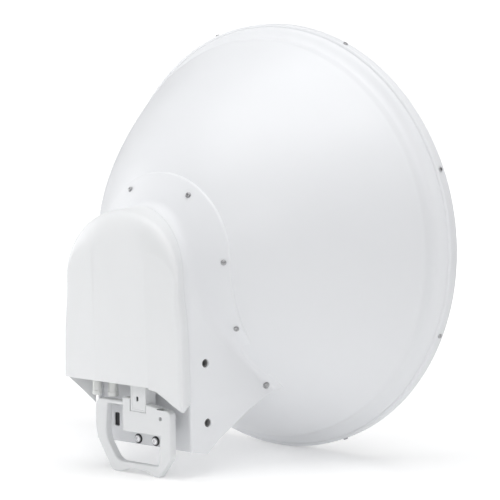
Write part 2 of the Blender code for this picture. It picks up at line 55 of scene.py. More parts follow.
# Dish
RIM_RADIUS = 325 * MM
FLANGE_RADIUS = 320.5 * MM
BAND_WIDTH = 15 * MM
BAND_EDGE = 3.8 * MM
BAND_ROUND = 6 * MM
BOWL_RADIUS = 303 * MM
NECK_RADIUS = 302 * MM
NECK_DIP = 5.4 * MM
BOWL_DEPTH = 310.6 * MM
BOWL_CURVE = 330.6 * MM
SHEET = 2.4 * MM
FEED_HOLE_RADIUS = 32 * MM
RADOME_CROWN = 30 * MM
RADOME_WALL = 3 * MM
RIM_SCREWS = 8
TURN_STEPS = 192
BOWL_STEPS = 40
NECK_STEPS = 16
DOME_STEPS = 20

# Hub
HUB_REAR_Y = -316 * MM
HUB_CREST = 79.5 * MM
HUB_ARCH_CENTRE = -15 * MM
HUB_HALF_WIDTH = 77.5 * MM
KNEE_Z = -105 * MM
HUB_KNEE_HALF_WIDTH = 86.4 * MM
HUB_FOOT_HALF_WIDTH = 92.5 * MM
HUB_LOW = -293 * MM
HUB_BOTTOM = -275 * MM
HUB_UNDERSIDE = [(-286, -281), (-262, -261.5), (-202.5, -224.5), (-175.5, -212.5), (60, -108)]
HUB_DRAFT = math.tan(math.radians(9))
HUB_FLANGE_RADIUS = 124.5 * MM
HUB_FLANGE_THICK = 3 * MM
HUB_FILLET = 15 * MM
CREST_FILLET_EASE = 0.55
HUB_WALL = 4 * MM
HUB_RECESS = 7 * MM
HUB_SCREWS = {"crest": (55.5, 96), "waist": (117.5, 2), "flank": (117, -99)}
FOOT_SCREW = (107.5, -194)
FOOT_POCKET_ANGLE = math.radians(36)
FOOT_POCKET_RADIUS = 5.2 * MM
BRACKET_HOLE_RADIUS = 6.4 * MM
BRACKET_HOLE_DEPTH = 16 * MM
BRACKET_HOLES = [(-285.3, -147), (-284.1, -235)]
CABLE_SLOT = [(-63.6, -233.5, 2.5), (-53.7, -233.5, 2.5), (-53.7, -254, 2.5), (-63.6, -254, 2.5)]
CABLE_SLOT_MIDDLE = (-58.65, -243.75)

# Hood over the radio
FACE_Y = -373 * MM
FACE_HALF_WIDTH = 49 * MM
LIP_Y = -365.5 * MM
LIP_HALF_WIDTH = 109.5 * MM
LIP_KNEE_HALF_WIDTH = 114.5 * MM
LIP_FOOT_HALF_WIDTH = 116.5 * MM
LIP_CREST = 75.5 * MM
LIP_ARCH_CENTRE = -25 * MM
LIP_ARCH_POWER = 2.25
LIP_ROUND = 7.5 * MM
RIGHT_FACET_SET = 6 * MM
CREST_ROUND = 52 * MM
CREST_WALL_ROUND = 24 * MM
SEAM_GAP = 1.6 * MM
# Lowest point of the dark sheet of painted shade in the hood's seam
SEAM_SHADE_END = -205 * MM
GROOVE_WIDTH = 3 * MM
GROOVE_DEPTH = 1.1 * MM
COVER_STEP = 0.8 * MM
COVER_WALL = 3 * MM
COVER_LOW = -245 * MM
COVER_BOTTOM = -177 * MM
COVER_SLOPE_Y = -358.6 * MM
COVER_HEEL = -223 * MM
FLAP_EDGE = [(50, -177), (62, -179.5), (78, -187), (98, -199), (106, -202.5), (112, -206)]
FLAP_HEEL = -211.2 * MM

# Radio, ports and handle
RADIO_HALF_WIDTH = 72 * MM
RADIO_TOP = 0 * MM
RADIO_BOTTOM = -176 * MM
RADIO_REAR_Y = -354 * MM
RADIO_DEEP_Y = -362 * MM
RADIO_BAY_TOP = -150 * MM
COOLING_PITCH = 15
COOLING_HALF_WIDTH = 1.5
SEAT_GAP = 0.3 * MM
HANDLE_REAR_Y = -341.8 * MM
HANDLE_DEPTH = 13.5 * MM
HANDLE_HALF_WIDTH = 73 * MM
HANDLE_INNER = 53 * MM
HANDLE_TOP = -207.5 * MM
HANDLE_BAR_Z = -297.5 * MM
HANDLE_FOOT_Z = -313.5 * MM
HANDLE_BAR = 6 * MM
HANDLE_EDGE = 2.4 * MM
PLATE_LEFT = -20 * MM
PLATE_BOTTOM = -251.6 * MM
PLATE_EAR_TOP = -201 * MM
PLATE_WALL = 3 * MM
PORT_LEFT = -4 * MM
PORT_RIGHT = 25 * MM
PORT_BOTTOM = -220 * MM
PORT_FRONT_Y = -318 * MM
PORT_GAP = 1.2 * MM
PORT_HOLE = [(6.5, -197.6, 2.1), (10.9, -197.6, 2.1), (10.9, -205, 2.1), (6.5, -205, 2.1)]
PORT_SOCKET = [(6.7, -197.8, 1.9), (10.7, -197.8, 1.9), (10.7, -204.8, 1.9), (6.7, -204.8, 1.9)]
PLATE_SLIT = [(47, -210.9, 0.8), (61, -210.9, 0.8), (61, -213.1, 0.8), (47, -213.1, 0.8)]
PLATE_SCREW_X = 53.9 * MM
PLATE_SCREW_Z = -225.6 * MM
BOLT_X = 16.7 * MM
BOLT_Z = -268 * MM
BOLT_RADIUS = 6.6 * MM


def only(obj):
    bpy.ops.object.select_all(action="DESELECT")
    obj.select_set(True)
    bpy.context.view_layer.objects.active = obj


def start_edit(obj):
    only(obj)
    bpy.ops.object.mode_set(mode="EDIT")


def end_edit():
    bpy.ops.object.mode_set(mode="OBJECT")


def pick_all():
    bpy.ops.mesh.select_all(action="SELECT")


def draw_line(points, closed=False):
    """Draws a line of edges through points in the mesh being edited, by extruding one vertex on and on."""
    bpy.ops.mesh.select_mode(type="VERT")
    bpy.ops.mesh.select_all(action="DESELECT")
    bpy.ops.mesh.primitive_plane_add(size=2 * MM)
    bpy.ops.mesh.merge(type="CENTER")
    bpy.ops.transform.translate(value=points[0])
    for here, following in zip(points, points[1:]):
        step = Vector(following) - Vector(here)
        bpy.ops.mesh.extrude_region_move(TRANSFORM_OT_translate={"value": step})
    if closed:
        step = Vector(points[0]) - Vector(points[-1])
        bpy.ops.mesh.extrude_region_move(TRANSFORM_OT_translate={"value": step})


def new_drawing(name):
    """An empty mesh object in edit mode."""
    bpy.ops.object.select_all(action="DESELECT")
    bpy.ops.mesh.primitive_plane_add(size=2 * MM)
    obj = bpy.context.object
    obj.name = name
    bpy.ops.object.mode_set(mode="EDIT")
    pick_all()
    bpy.ops.mesh.delete(type="VERT")
    return obj


def tidy_edit(merge=NEAR):
    pick_all()
    bpy.ops.mesh.remove_doubles(threshold=merge)
    bpy.ops.mesh.normals_make_consistent(inside=False)


def turned(name, profile, steps=TURN_STEPS):
    """A profile of (radius, y) points spun about the dish axis, and closed unless it starts there."""
    obj = new_drawing(name)
    draw_line([(radius, y, 0) for radius, y in profile], closed=profile[0][0] > 0)
    pick_all()
    bpy.ops.mesh.remove_doubles(threshold=NEAR)
    pick_all()
    bpy.ops.mesh.spin(steps=steps, angle=2 * math.pi, center=(0, 0, 0), axis=(0, 1, 0))
    tidy_edit()
    end_edit()
    return obj


def lofted(name, rings, filled=True):
    """A skin bridged over closed rings of points, with both its ends filled or left open."""
    obj = new_drawing(name)
    for ring in rings:
        draw_line(ring, closed=True)
    pick_all()
    bpy.ops.mesh.remove_doubles(threshold=NEARER)
    pick_all()
    bpy.ops.mesh.bridge_edge_loops()
    for ring in (rings[0], rings[-1]) if filled else ():
        pick_verts(lambda co: any((co - Vector(p)).length < NEAR for p in ring))
        bpy.ops.mesh.edge_face_add()
    tidy_edit(NEARER)
    end_edit()
    return obj


def pick_verts(test):
    """Selects the vertices of the mesh being edited whose place passes the test."""
    bpy.ops.mesh.select_mode(type="VERT")
    bpy.ops.mesh.select_all(action="DESELECT")
    bm = bmesh.from_edit_mesh(bpy.context.object.data)
    for vert in bm.verts:
        vert.select = test(vert.co)
    bm.select_flush_mode()
    bmesh.update_edit_mesh(bpy.context.object.data)


def pick_faces(test):
    """Selects the faces of the mesh being edited that pass the test."""
    bpy.ops.mesh.select_mode(type="FACE")
    bpy.ops.mesh.select_all(action="DESELECT")
    bm = bmesh.from_edit_mesh(bpy.context.object.data)
    bm.normal_update()
    for face in bm.faces:
        face.select = test(face)
    bm.select_flush_mode()
    bmesh.update_edit_mesh(bpy.context.object.data)


def extruded(name, outline, travel):
    """A solid from a flat closed outline of points, pushed along travel."""
    obj = new_drawing(name)
    draw_line(outline, closed=True)
    pick_all()
    bpy.ops.mesh.remove_doubles(threshold=NEARER)
    bpy.ops.mesh.edge_face_add()
    pick_all()
    bpy.ops.mesh.extrude_region_move(TRANSFORM_OT_translate={"value": travel})
    tidy_edit(NEARER)
    end_edit()
    return obj


def turn_to(obj, place, axis):
    """Turns a piece made along the dish axis so that its rear end faces axis, and sets it on place."""
    only(obj)
    obj.rotation_euler = Vector((0, -1, 0)).rotation_difference(Vector(axis)).to_euler()
    obj.location = place
    bpy.ops.object.transform_apply(location=True, rotation=True, scale=True)


def rod(name, radius, length, centre, axis):
    """A plain round cutter."""
    half = length / 2
    bar = turned(name, [(0, -half), (radius, -half), (radius, half), (0, half)], 32)
    turn_to(bar, centre, axis)
    return bar


def rounded(corners, steps=6):
    """An outline of (x, z) points from corners of (x, z, radius), each corner turned into an arc."""
    points = []
    for k, (x, z, radius) in enumerate(corners):
        corner = Vector((x, z))
        before = Vector(corners[k - 1][:2]) - corner
        after = Vector(corners[(k + 1) % len(corners)][:2]) - corner
        if radius == 0:
            points.append((x, z))
            continue
        reach = radius / math.tan(before.angle(after) / 2)
        start = before.normalized() * reach
        end = after.normalized() * reach
        for i in range(steps + 1):
            t = i / steps
            points.append(tuple(corner + start * (1 - t) ** 2 + end * t * t))
    return points


def finish_modifier(obj, kind, **settings):
    """Adds a modifier with its settings and applies it."""
    only(obj)
    modifier = obj.modifiers.new(kind.lower(), kind)
    for key, value in settings.items():
        setattr(modifier, key, value)
    bpy.ops.object.modifier_apply(modifier=modifier.name)


def cut_away(obj, cutter):
    finish_modifier(obj, "BOOLEAN", operation="DIFFERENCE", solver="EXACT", object=cutter)
    bpy.data.objects.remove(cutter, do_unlink=True)


def smooth(obj, angle=30):
    only(obj)
    bpy.ops.object.shade_smooth_by_angle(angle=math.radians(angle))
    finish_modifier(obj, "WEIGHTED_NORMAL", mode="FACE_AREA", weight=80, keep_sharp=True)


def placed(obj, material, slot, *nodes):
    """Stands the piece in the leaning antenna, gives it its finish and hides the CAD parts it stands for."""
    only(obj)
    obj.rotation_euler = (LEAN, 0, 0)
    obj.location = AXIS_PLACE
    bpy.ops.object.transform_apply(location=True, rotation=True, scale=True)
    obj.data.materials.clear()
    obj.data.materials.append(material)
    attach(obj, "root")
    if nodes:
        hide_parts(*nodes)


# Materials

def socket(group, name, direction, kind, value=None):
    made = group.interface.new_socket(name=name, in_out=direction, socket_type=kind)
    if value is not None:
        made.default_value = value
    return made


def moulded_skin_group():
    """Fine mould grain and slow waviness of a moulded or painted skin: a height, a roughness, a mask."""
    group = bpy.data.node_groups.new("moulded_skin", "ShaderNodeTree")
    socket(group, "Grain Size", "INPUT", "NodeSocketFloat", 900.0)
    socket(group, "Grain", "INPUT", "NodeSocketFloat", 0.5)
    socket(group, "Roughness", "INPUT", "NodeSocketFloat", 0.45)
    socket(group, "Roughness Spread", "INPUT", "NodeSocketFloat", 0.08)
    socket(group, "Height", "OUTPUT", "NodeSocketFloat")
    socket(group, "Roughness", "OUTPUT", "NodeSocketFloat")
    socket(group, "Patches", "OUTPUT", "NodeSocketFloat")
    nodes, links = group.nodes, group.links
    inputs = nodes.new("NodeGroupInput")
    outputs = nodes.new("NodeGroupOutput")
    place = nodes.new("ShaderNodeTexCoord")
    grain = nodes.new("ShaderNodeTexNoise")
    grain.inputs["Detail"].default_value = 3
    pits = nodes.new("ShaderNodeTexVoronoi")
    patches = nodes.new("ShaderNodeTexNoise")
    patches.inputs["Scale"].default_value = 14
    patches.inputs["Detail"].default_value = 4
    for texture in (grain, pits, patches):
        links.new(place.outputs["Object"], texture.inputs["Vector"])
    links.new(inputs.outputs["Grain Size"], grain.inputs["Scale"])
    links.new(inputs.outputs["Grain Size"], pits.inputs["Scale"])
    height = nodes.new("ShaderNodeMath")
    height.operation = "MULTIPLY_ADD"
    links.new(pits.outputs["Distance"], height.inputs[0])
    height.inputs[1].default_value = 0.4
    links.new(grain.outputs["Fac"], height.inputs[2])
    scaled = nodes.new("ShaderNodeMath")
    scaled.operation = "MULTIPLY"
    links.new(height.outputs[0], scaled.inputs[0])
    links.new(inputs.outputs["Grain"], scaled.inputs[1])
    links.new(scaled.outputs[0], outputs.inputs["Height"])
    spread = nodes.new("ShaderNodeMapRange")
    links.new(patches.outputs["Fac"], spread.inputs["Value"])
    spread.inputs["From Min"].default_value = 0.3
    spread.inputs["From Max"].default_value = 0.7
    spread.inputs["To Min"].default_value = -0.5
    spread.inputs["To Max"].default_value = 0.5
    rough = nodes.new("ShaderNodeMath")
    rough.operation = "MULTIPLY_ADD"
    links.new(spread.outputs["Result"], rough.inputs[0])
    links.new(inputs.outputs["Roughness Spread"], rough.inputs[1])
    links.new(inputs.outputs["Roughness"], rough.inputs[2])
    links.new(rough.outputs[0], outputs.inputs["Roughness"])
    links.new(patches.outputs["Fac"], outputs.inputs["Patches"])
    return group


def painted_highlight_shade_group():
    """A mask of the outer edges and one of the inner corners, for a painted highlight on the edges and
    painted shade in the corners.
    """
    group = bpy.data.node_groups.new("edge_highlight_and_shade", "ShaderNodeTree")
    socket(group, "Edges", "OUTPUT", "NodeSocketFloat")
    socket(group, "Corners", "OUTPUT", "NodeSocketFloat")
    nodes, links = group.nodes, group.links
    outputs = nodes.new("NodeGroupOutput")
    shape = nodes.new("ShaderNodeNewGeometry")
    place = nodes.new("ShaderNodeTexCoord")
    breakup = nodes.new("ShaderNodeTexNoise")
    breakup.inputs["Scale"].default_value = 90
    breakup.inputs["Detail"].default_value = 5
    links.new(place.outputs["Object"], breakup.inputs["Vector"])
    # Edges mask lightens outer edges, a painted highlight; Corners mask darkens inner corners, painted shade.
    for name, low, high in (("Edges", 0.52, 0.62), ("Corners", 0.48, 0.40)):
        mask = nodes.new("ShaderNodeMapRange")
        links.new(shape.outputs["Pointiness"], mask.inputs["Value"])
        mask.inputs["From Min"].default_value = low
        mask.inputs["From Max"].default_value = high
        broken = nodes.new("ShaderNodeMath")
        broken.operation = "MULTIPLY"
        links.new(mask.outputs["Result"], broken.inputs[0])
        links.new(breakup.outputs["Fac"], broken.inputs[1])
        links.new(broken.outputs[0], outputs.inputs[name])
    return group


SKIN = moulded_skin_group()
HIGHLIGHT_AND_SHADE = painted_highlight_shade_group()


def finish_material(name, colour, warm, roughness, spread, grain_size, grain, bump, metallic=0.0, coat=0.0,
                    painted_highlight_colour=None, painted_shade_colour=None):
    """A finish with grain, patchy roughness, a painted highlight on outer edges and painted shade in inner
    corners.
    """
    made = bpy.data.materials.new(name)
    made.use_nodes = True
    nodes, links = made.node_tree.nodes, made.node_tree.links
    shader = nodes["Principled BSDF"]
    shader.inputs["Metallic"].default_value = metallic
    shader.inputs["Coat Roughness"].default_value = 0.25
    shader.inputs["Coat Weight"].default_value = coat
    skin = nodes.new("ShaderNodeGroup")
    skin.node_tree = SKIN
    skin.inputs["Grain Size"].default_value = grain_size
    skin.inputs["Grain"].default_value = grain
    skin.inputs["Roughness"].default_value = roughness
    skin.inputs["Roughness Spread"].default_value = spread
    highlight_and_shade_masks = nodes.new("ShaderNodeGroup")
    highlight_and_shade_masks.node_tree = HIGHLIGHT_AND_SHADE
    tone = nodes.new("ShaderNodeMix")
    tone.data_type = "RGBA"
    tone.inputs["A"].default_value = colour
    tone.inputs["B"].default_value = warm
    links.new(skin.outputs["Patches"], tone.inputs["Factor"])
    # By default outer edges are 3% lighter (painted highlight) and inner corners 14% darker (painted shade).
    painted_highlight_colour = painted_highlight_colour or tuple(min(1, c * 1.03) for c in colour[:3]) + (1,)
    painted_shade_colour = painted_shade_colour or tuple(c * 0.86 for c in colour[:3]) + (1,)
    current = tone.outputs["Result"]
    for mask, paint in (("Edges", painted_highlight_colour), ("Corners", painted_shade_colour)):
        layer = nodes.new("ShaderNodeMix")
        layer.data_type = "RGBA"
        links.new(highlight_and_shade_masks.outputs[mask], layer.inputs["Factor"])
        links.new(current, layer.inputs["A"])
        layer.inputs["B"].default_value = paint
        current = layer.outputs["Result"]
    links.new(current, shader.inputs["Base Color"])
    links.new(skin.outputs["Roughness"], shader.inputs["Roughness"])
    relief = nodes.new("ShaderNodeBump")
    relief.inputs["Strength"].default_value = bump
    relief.inputs["Distance"].default_value = 0.1 * MM
    links.new(skin.outputs["Height"], relief.inputs["Height"])
    links.new(relief.outputs["Normal"], shader.inputs["Normal"])
    return made


# Every finish below has a painted highlight on its outer edges and painted shade in its inner corners.
# Colour, patch colour, roughness, its spread, grain size, grain depth and bump strength of each finish
dish_paint = finish_material("dish_powder_coat", (0.80, 0.81, 0.83, 1), (0.79, 0.80, 0.82, 1),
                             0.42, 0.10, 1400, 0.6, 0.25, coat=0.05)
radome_skin = finish_material("radome_moulding", (0.80, 0.81, 0.83, 1), (0.79, 0.80, 0.82, 1),
                              0.5, 0.08, 900, 0.5, 0.2)
hub_skin = finish_material("hub_moulding", (0.81, 0.82, 0.84, 1), (0.80, 0.81, 0.83, 1),
                           0.5, 0.08, 1100, 0.5, 0.25)
hood_skin = finish_material("hood_moulding", (0.82, 0.83, 0.84, 1), (0.81, 0.82, 0.83, 1),
                            0.46, 0.08, 1200, 0.5, 0.25)
handle_skin = finish_material("handle_moulding", (0.80, 0.81, 0.82, 1), (0.79, 0.80, 0.81, 1),
                              0.48, 0.08, 1200, 0.5, 0.25)
# The port block's lighter edges are a painted highlight and its darker corners painted shade.
port_skin = finish_material("port_moulding", (0.80, 0.81, 0.82, 1), (0.79, 0.80, 0.81, 1),
                            0.45, 0.08, 1200, 0.5, 0.25, painted_highlight_colour=(0.81, 0.82, 0.83, 1),
                            painted_shade_colour=(0.78, 0.79, 0.80, 1))
radio_casting = finish_material("radio_casting", (0.66, 0.665, 0.65, 1), (0.60, 0.61, 0.60, 1),
                                0.5, 0.15, 700, 1.0, 0.4, metallic=0.5)
gland_finish = finish_material("gland_paint", (0.74, 0.75, 0.74, 1), (0.70, 0.71, 0.70, 1),
                               0.4, 0.1, 1500, 0.6, 0.2, metallic=0.2)
insert_metal = finish_material("insert_metal", (0.20, 0.20, 0.20, 1), (0.14, 0.14, 0.14, 1),
                               0.4, 0.15, 1800, 0.6, 0.2, metallic=0.8)
# Near-black in the hex socket and inner corners of the bolts: painted shade.
bolt_steel = finish_material("bright_steel", (0.86, 0.86, 0.87, 1), (0.78, 0.78, 0.80, 1),
                             0.3, 0.12, 2000, 0.6, 0.2, metallic=1.0, painted_shade_colour=(0.05, 0.05, 0.05, 1))
# Near-black in the cross recesses and inner corners of the screws: painted shade.
screw_steel = finish_material("stainless_steel", (0.50, 0.50, 0.51, 1), (0.42, 0.42, 0.43, 1),
                              0.34, 0.15, 2000, 0.6, 0.2, metallic=1.0, painted_shade_colour=(0.04, 0.04, 0.04, 1))
# Near black: rubber for the bolt washers and the port socket, painted shade for the sheet in the cable slot.
dark_rubber_and_shade = finish_material("dark_rubber_and_shade", (0.045, 0.045, 0.05, 1), (0.06, 0.06, 0.06, 1),
                              0.6, 0.1, 1400, 0.8, 0.4)
# Dark grey for the sheet in the seam between hood and hub: painted shade.
painted_seam_shade = finish_material("painted_seam_shade", (0.16, 0.16, 0.17, 1), (0.20, 0.20, 0.21, 1),
                              0.6, 0.1, 1400, 0.8, 0.4)


# Dish

def bowl_y(radius):
    return radius * radius / BOWL_CURVE - BOWL_DEPTH


def bowl_points(offset):
    """Points of the bowl's back from the feed hole out, moved along its normal by offset."""
    points = []
    for k in range(BOWL_STEPS + 1):
        radius = FEED_HOLE_RADIUS + (BOWL_RADIUS - FEED_HOLE_RADIUS) * k / BOWL_STEPS
        normal = Vector((2 * radius / BOWL_CURVE, -1)).normalized()
        points.append((radius + normal.x * offset, bowl_y(radius) + normal.y * offset))
    return points


def make_dish():
    back = [p for p in bowl_points(0) if p[0] < NECK_RADIUS - 1 * MM]
    front = bowl_points(-SHEET)
    start = Vector((NECK_RADIUS, bowl_y(NECK_RADIUS)))
    along = Vector((FLANGE_RADIUS - 0.4 * MM, -0.5 * MM)) - start
    outward = Vector((along.y, -along.x)).normalized()
    neck = [tuple(start + along * (k / NECK_STEPS)
                  - outward * NECK_DIP * math.sin(math.pi * k / NECK_STEPS) ** 2)
            for k in range(NECK_STEPS + 1)]
    rim = [(FLANGE_RADIUS - 0.15 * MM, 0), (FLANGE_RADIUS, 0.15 * MM),
           (FLANGE_RADIUS, BAND_WIDTH * 0.7), (FLANGE_RADIUS - SHEET, BAND_WIDTH * 0.7),
           (FLANGE_RADIUS - SHEET, SHEET), (BOWL_RADIUS + 8 * MM, SHEET), (BOWL_RADIUS + 1 * MM, SHEET * 0.4)]
    dish = turned("dish_shell", back + neck + rim + front[::-1])
    smooth(dish, 40)
    placed(dish, dish_paint, "dish_paint", "reflector")


def make_radome():
    turn = BAND_ROUND
    inner = FLANGE_RADIUS + 0.1 * MM
    edge = BAND_EDGE
    face_radius = RIM_RADIUS - turn
    crown = BAND_WIDTH + turn + RADOME_CROWN
    dome = [(face_radius * k / DOME_STEPS, crown - RADOME_CROWN * (k / DOME_STEPS) ** 2)
            for k in range(DOME_STEPS)]
    inside = [(radius, y - RADOME_WALL) for radius, y in dome]
    inside += [(inner - 2 * MM, BAND_WIDTH + turn - RADOME_WALL), (inner, BAND_WIDTH)]
    outer = [(inner, 0.15 * MM), (inner + 0.15 * MM, 0), (RIM_RADIUS - edge, 0),
             (RIM_RADIUS - edge * 0.4, edge * 0.2), (RIM_RADIUS - edge * 0.1, edge * 0.55),
             (RIM_RADIUS, edge), (RIM_RADIUS, BAND_WIDTH)]
    for angle in range(10, 91, 10):
        a = math.radians(angle)
        outer.append((RIM_RADIUS - turn * (1 - math.cos(a)), BAND_WIDTH + turn * math.sin(a)))
    radome = turned("radome_cap", inside + outer + dome[::-1])
    smooth(radome, 40)
    placed(radome, radome_skin, "radome_plastic", "radome")


# Outlines shared by the hub and the hood

def arched_half(half_width, knee_half_width, foot_half_width, crest, centre, bottom, power=2, steps=24):
    """The right half of an arched outline of (x, z) points, from the crest to the bottom corner."""
    points = []
    for k in range(steps + 1):
        angle = math.radians(90 - 90 * k / steps)
        points.append((half_width * math.cos(angle) ** (2 / power),
                       centre + (crest - centre) * math.sin(angle) ** (2 / power)))
    reach = centre - KNEE_Z
    slope = (foot_half_width - knee_half_width) / (KNEE_Z - bottom) * reach
    for k in range(1, 9):
        t = k / 8
        widen = (3 * t * t - 2 * t ** 3) * (knee_half_width - half_width) + (t ** 3 - t * t) * slope
        points.append((half_width + widen, centre - reach * t))
    for share in (0.5, 1):
        points.append((knee_half_width + (foot_half_width - knee_half_width) * share,
                       KNEE_Z + (bottom - KNEE_Z) * share))
    return points


def mirrored(half):
    return half + [(-x, z) for x, z in half[:0:-1]]


def hub_half(step, low):
    return arched_half(HUB_HALF_WIDTH + step, HUB_KNEE_HALF_WIDTH + step, HUB_FOOT_HALF_WIDTH + step,
                       HUB_CREST + step, HUB_ARCH_CENTRE, low)


# Hub

def hub_line(rear, flange):
    """One line of the hub's skin from its rounded rear edge over the fillet to the flange and the dish."""
    start = Vector(rear)
    outward = Vector(flange) - start
    reach = max(outward.length, 1e-6)
    outward = outward / reach
    depth = bowl_y(math.hypot(*flange))
    slope = 2 * max(Vector(flange).dot(outward), 0) / BOWL_CURVE
    top = depth - HUB_FLANGE_THICK * math.hypot(1, 2 * math.hypot(*flange) / BOWL_CURVE)
    meet = (top - slope * reach - HUB_REAR_Y) / (1 / HUB_DRAFT - slope)
    meet = min(meet, reach - 2 * MM)
    corner = Vector((meet, HUB_REAR_Y + meet / HUB_DRAFT))
    fillet = HUB_FILLET * (1 - CREST_FILLET_EASE * max(0, outward.y) ** 2)
    back = min(fillet, (corner.y - HUB_REAR_Y) * 0.6)
    ahead = min(fillet, (reach - meet) * 0.6)
    draft = math.atan(HUB_DRAFT)
    first = Vector((meet - back * math.sin(draft), corner.y - back))
    tilt = math.atan(slope)
    last = Vector((meet + ahead * math.cos(tilt), corner.y + ahead * math.sin(tilt)))
    edge = 1 * MM
    line = [Vector((-edge, HUB_REAR_Y)), Vector((-edge * 0.3, HUB_REAR_Y + edge * 0.25)),
            Vector((edge * HUB_DRAFT, HUB_REAR_Y + edge)), first]
    for k in range(1, 7):
        t = k / 7
        line.append(first * (1 - t) ** 2 + corner * 2 * t * (1 - t) + last * t * t)
    lip = 2 * MM
    line += [last, Vector((reach - lip, top - slope * lip)), Vector((reach - lip * 0.3, top + lip * 0.2)),
             Vector((reach, top + lip)), Vector((reach, depth + 6 * MM))]
    return [(start.x + outward.x * u, y, start.y + outward.y * u) for u, y in line]


def make_hub():
    rear = hub_half(0, HUB_LOW)
    flange = arched_half(*[HUB_FLANGE_RADIUS] * 4, 0, HUB_LOW)
    lines = [hub_line(r, f) for r, f in zip(mirrored(rear), mirrored(flange))]
    rings = [[line[k] for line in lines] for k in range(len(lines[0]))]
    hub = lofted("hub_housing", rings)
    bowl = turned("seat", [(0, bowl_y(FEED_HOLE_RADIUS))] + bowl_points(0.05 * MM)
                  + [(BOWL_RADIUS + 4 * MM, 60 * MM), (0, 60 * MM)], 96)
    cut_away(hub, bowl)
    below = [(-FAR, HUB_BOTTOM), (HUB_REAR_Y, HUB_BOTTOM)] + [(y * MM, z * MM) for y, z in HUB_UNDERSIDE]
    below += [(60 * MM, -FAR), (-FAR, -FAR)]
    cut_away(hub, extruded("under", [(-FAR / 2, y, z) for y, z in below], (FAR, 0, 0)))
    inner = []
    for x, z in mirrored(rear):
        drop = HUB_WALL if z > -20 * MM else 0
        inner.append((x - HUB_WALL * ((x > 0) - (x < 0)), z - drop))
    cut_away(hub, extruded("recess", [(x, HUB_REAR_Y - 5 * MM, z) for x, z in inner],
                           (0, 5 * MM + HUB_RECESS, 0)))
    floor_y = HUB_REAR_Y + HUB_RECESS
    slot = rounded(CABLE_SLOT)
    cut_away(hub, extruded("slot", [(x * MM, floor_y - 2 * MM, z * MM) for x, z in slot], (0, 8 * MM, 0)))
    # A near-black sheet just behind the slot's floor: painted shade.
    make_slot_shade(slot, floor_y)
    for side in (1, -1):
        for y, z in BRACKET_HOLES:
            wall = wall_point(side, y * MM, z * MM)
            bore = rod("bore", BRACKET_HOLE_RADIUS, BRACKET_HOLE_DEPTH * 2, wall, Vector((side, 0, 0)))
            cut_away(hub, bore)
        seat, axis = foot_screw_seat(side)
        cut_away(hub, rod("pocket", FOOT_POCKET_RADIUS, 40 * MM, seat + axis * 20 * MM, axis))
    smooth(hub, 30)
    seats = {}
    for side, word in ((1, "right"), (-1, "left")):
        for place, (x, z) in HUB_SCREWS.items():
            start = Vector((side * x * MM, HUB_REAR_Y - 50 * MM, z * MM))
            _, where, normal, _ = hub.ray_cast(start, (0, 1, 0))
            seats["hub_screw_%s_%s" % (place, word)] = (where, normal)
        seats["hub_screw_foot_" + word] = foot_screw_seat(side)
    placed(hub, hub_skin, "hub_paint", "hub")
    return seats


def make_slot_shade(slot, floor_y):
    """A near-black sheet just behind the floor of the shallow cable slot in the recess: painted shade, the
    slot's dark inside.
    """
    middle = Vector(CABLE_SLOT_MIDDLE)
    shrunk = [middle + (Vector(p) - middle) * 0.94 for p in slot]
    shade_sheet = extruded("slot_shade_sheet", [(p.x * MM, floor_y + 1.5 * MM, p.y * MM) for p in shrunk], (0, 4 * MM, 0))
    start_edit(shade_sheet)
    pick_faces(lambda face: face.normal.y < -0.9)
    bpy.ops.mesh.inset(thickness=1.4 * MM)
    bpy.ops.mesh.inset(thickness=0.4 * MM, depth=-1.2 * MM)
    tidy_edit(NEARER)
    end_edit()
    smooth(shade_sheet, 30)
    placed(shade_sheet, dark_rubber_and_shade, "cover_plastic")


def foot_screw_seat(side):
    """The floor of the pocket in a corner of the hub's wall and the direction it faces."""
    x, z = side * FOOT_SCREW[0] * MM, FOOT_SCREW[1] * MM
    axis = Vector((side * math.sin(FOOT_POCKET_ANGLE), -math.cos(FOOT_POCKET_ANGLE), 0))
    return Vector((x, bowl_y(math.hypot(x, z)), z)) + axis * 2 * HUB_FLANGE_THICK, axis


def wall_point(side, y, z):
    """The point of the hub's flat side wall at a depth and height."""
    widen = (HUB_FOOT_HALF_WIDTH - HUB_KNEE_HALF_WIDTH) * (KNEE_Z - z) / (KNEE_Z - HUB_LOW)
    return Vector((side * (HUB_KNEE_HALF_WIDTH + widen + (y - HUB_REAR_Y) * HUB_DRAFT), y, z))


# Hood

def face_y(x):
    slope = (LIP_Y - FACE_Y + (RIGHT_FACET_SET if x > 0 else 0)) / (LIP_HALF_WIDTH - FACE_HALF_WIDTH)
    return FACE_Y + max(0, abs(x) - FACE_HALF_WIDTH) * slope


def hood_line(seam, lip, inward):
    """One line of the hood's skin from its tucked seam edge over the rounded lip onto the rear face."""
    seam = Vector(seam)
    fall = (Vector(lip) - seam) / (LIP_Y - HUB_REAR_Y)
    corner_y = LIP_Y
    for _ in range(4):
        corner = seam + fall * (corner_y - HUB_REAR_Y)
        corner_y = face_y(corner.x)
    rise = max(0, -inward.y) ** 1.2
    on_face = LIP_ROUND + (CREST_ROUND - LIP_ROUND) * rise
    on_wall = LIP_ROUND + (CREST_WALL_ROUND - LIP_ROUND) * rise
    wall = seam + fall * (corner_y + on_wall - HUB_REAR_Y)
    start = Vector((wall.x, corner_y + on_wall, wall.y))
    face = corner + inward * on_face
    end = Vector((face.x, face_y(face.x), face.y))
    middle = Vector((corner.x, corner_y, corner.y))
    line = []
    for back, tuck in ((SEAM_GAP, 1.1 * MM), (SEAM_GAP + 0.3 * MM, 0.45 * MM), (SEAM_GAP + 1.2 * MM, 0)):
        foot = seam - fall * back + inward * tuck
        line.append(Vector((foot.x, HUB_REAR_Y - back, foot.y)))
    line.append(start)
    for k in range(1, 8):
        t = k / 8
        line.append(start * (1 - t) ** 2 + middle * 2 * t * (1 - t) + end * t * t)
    return line + [end]


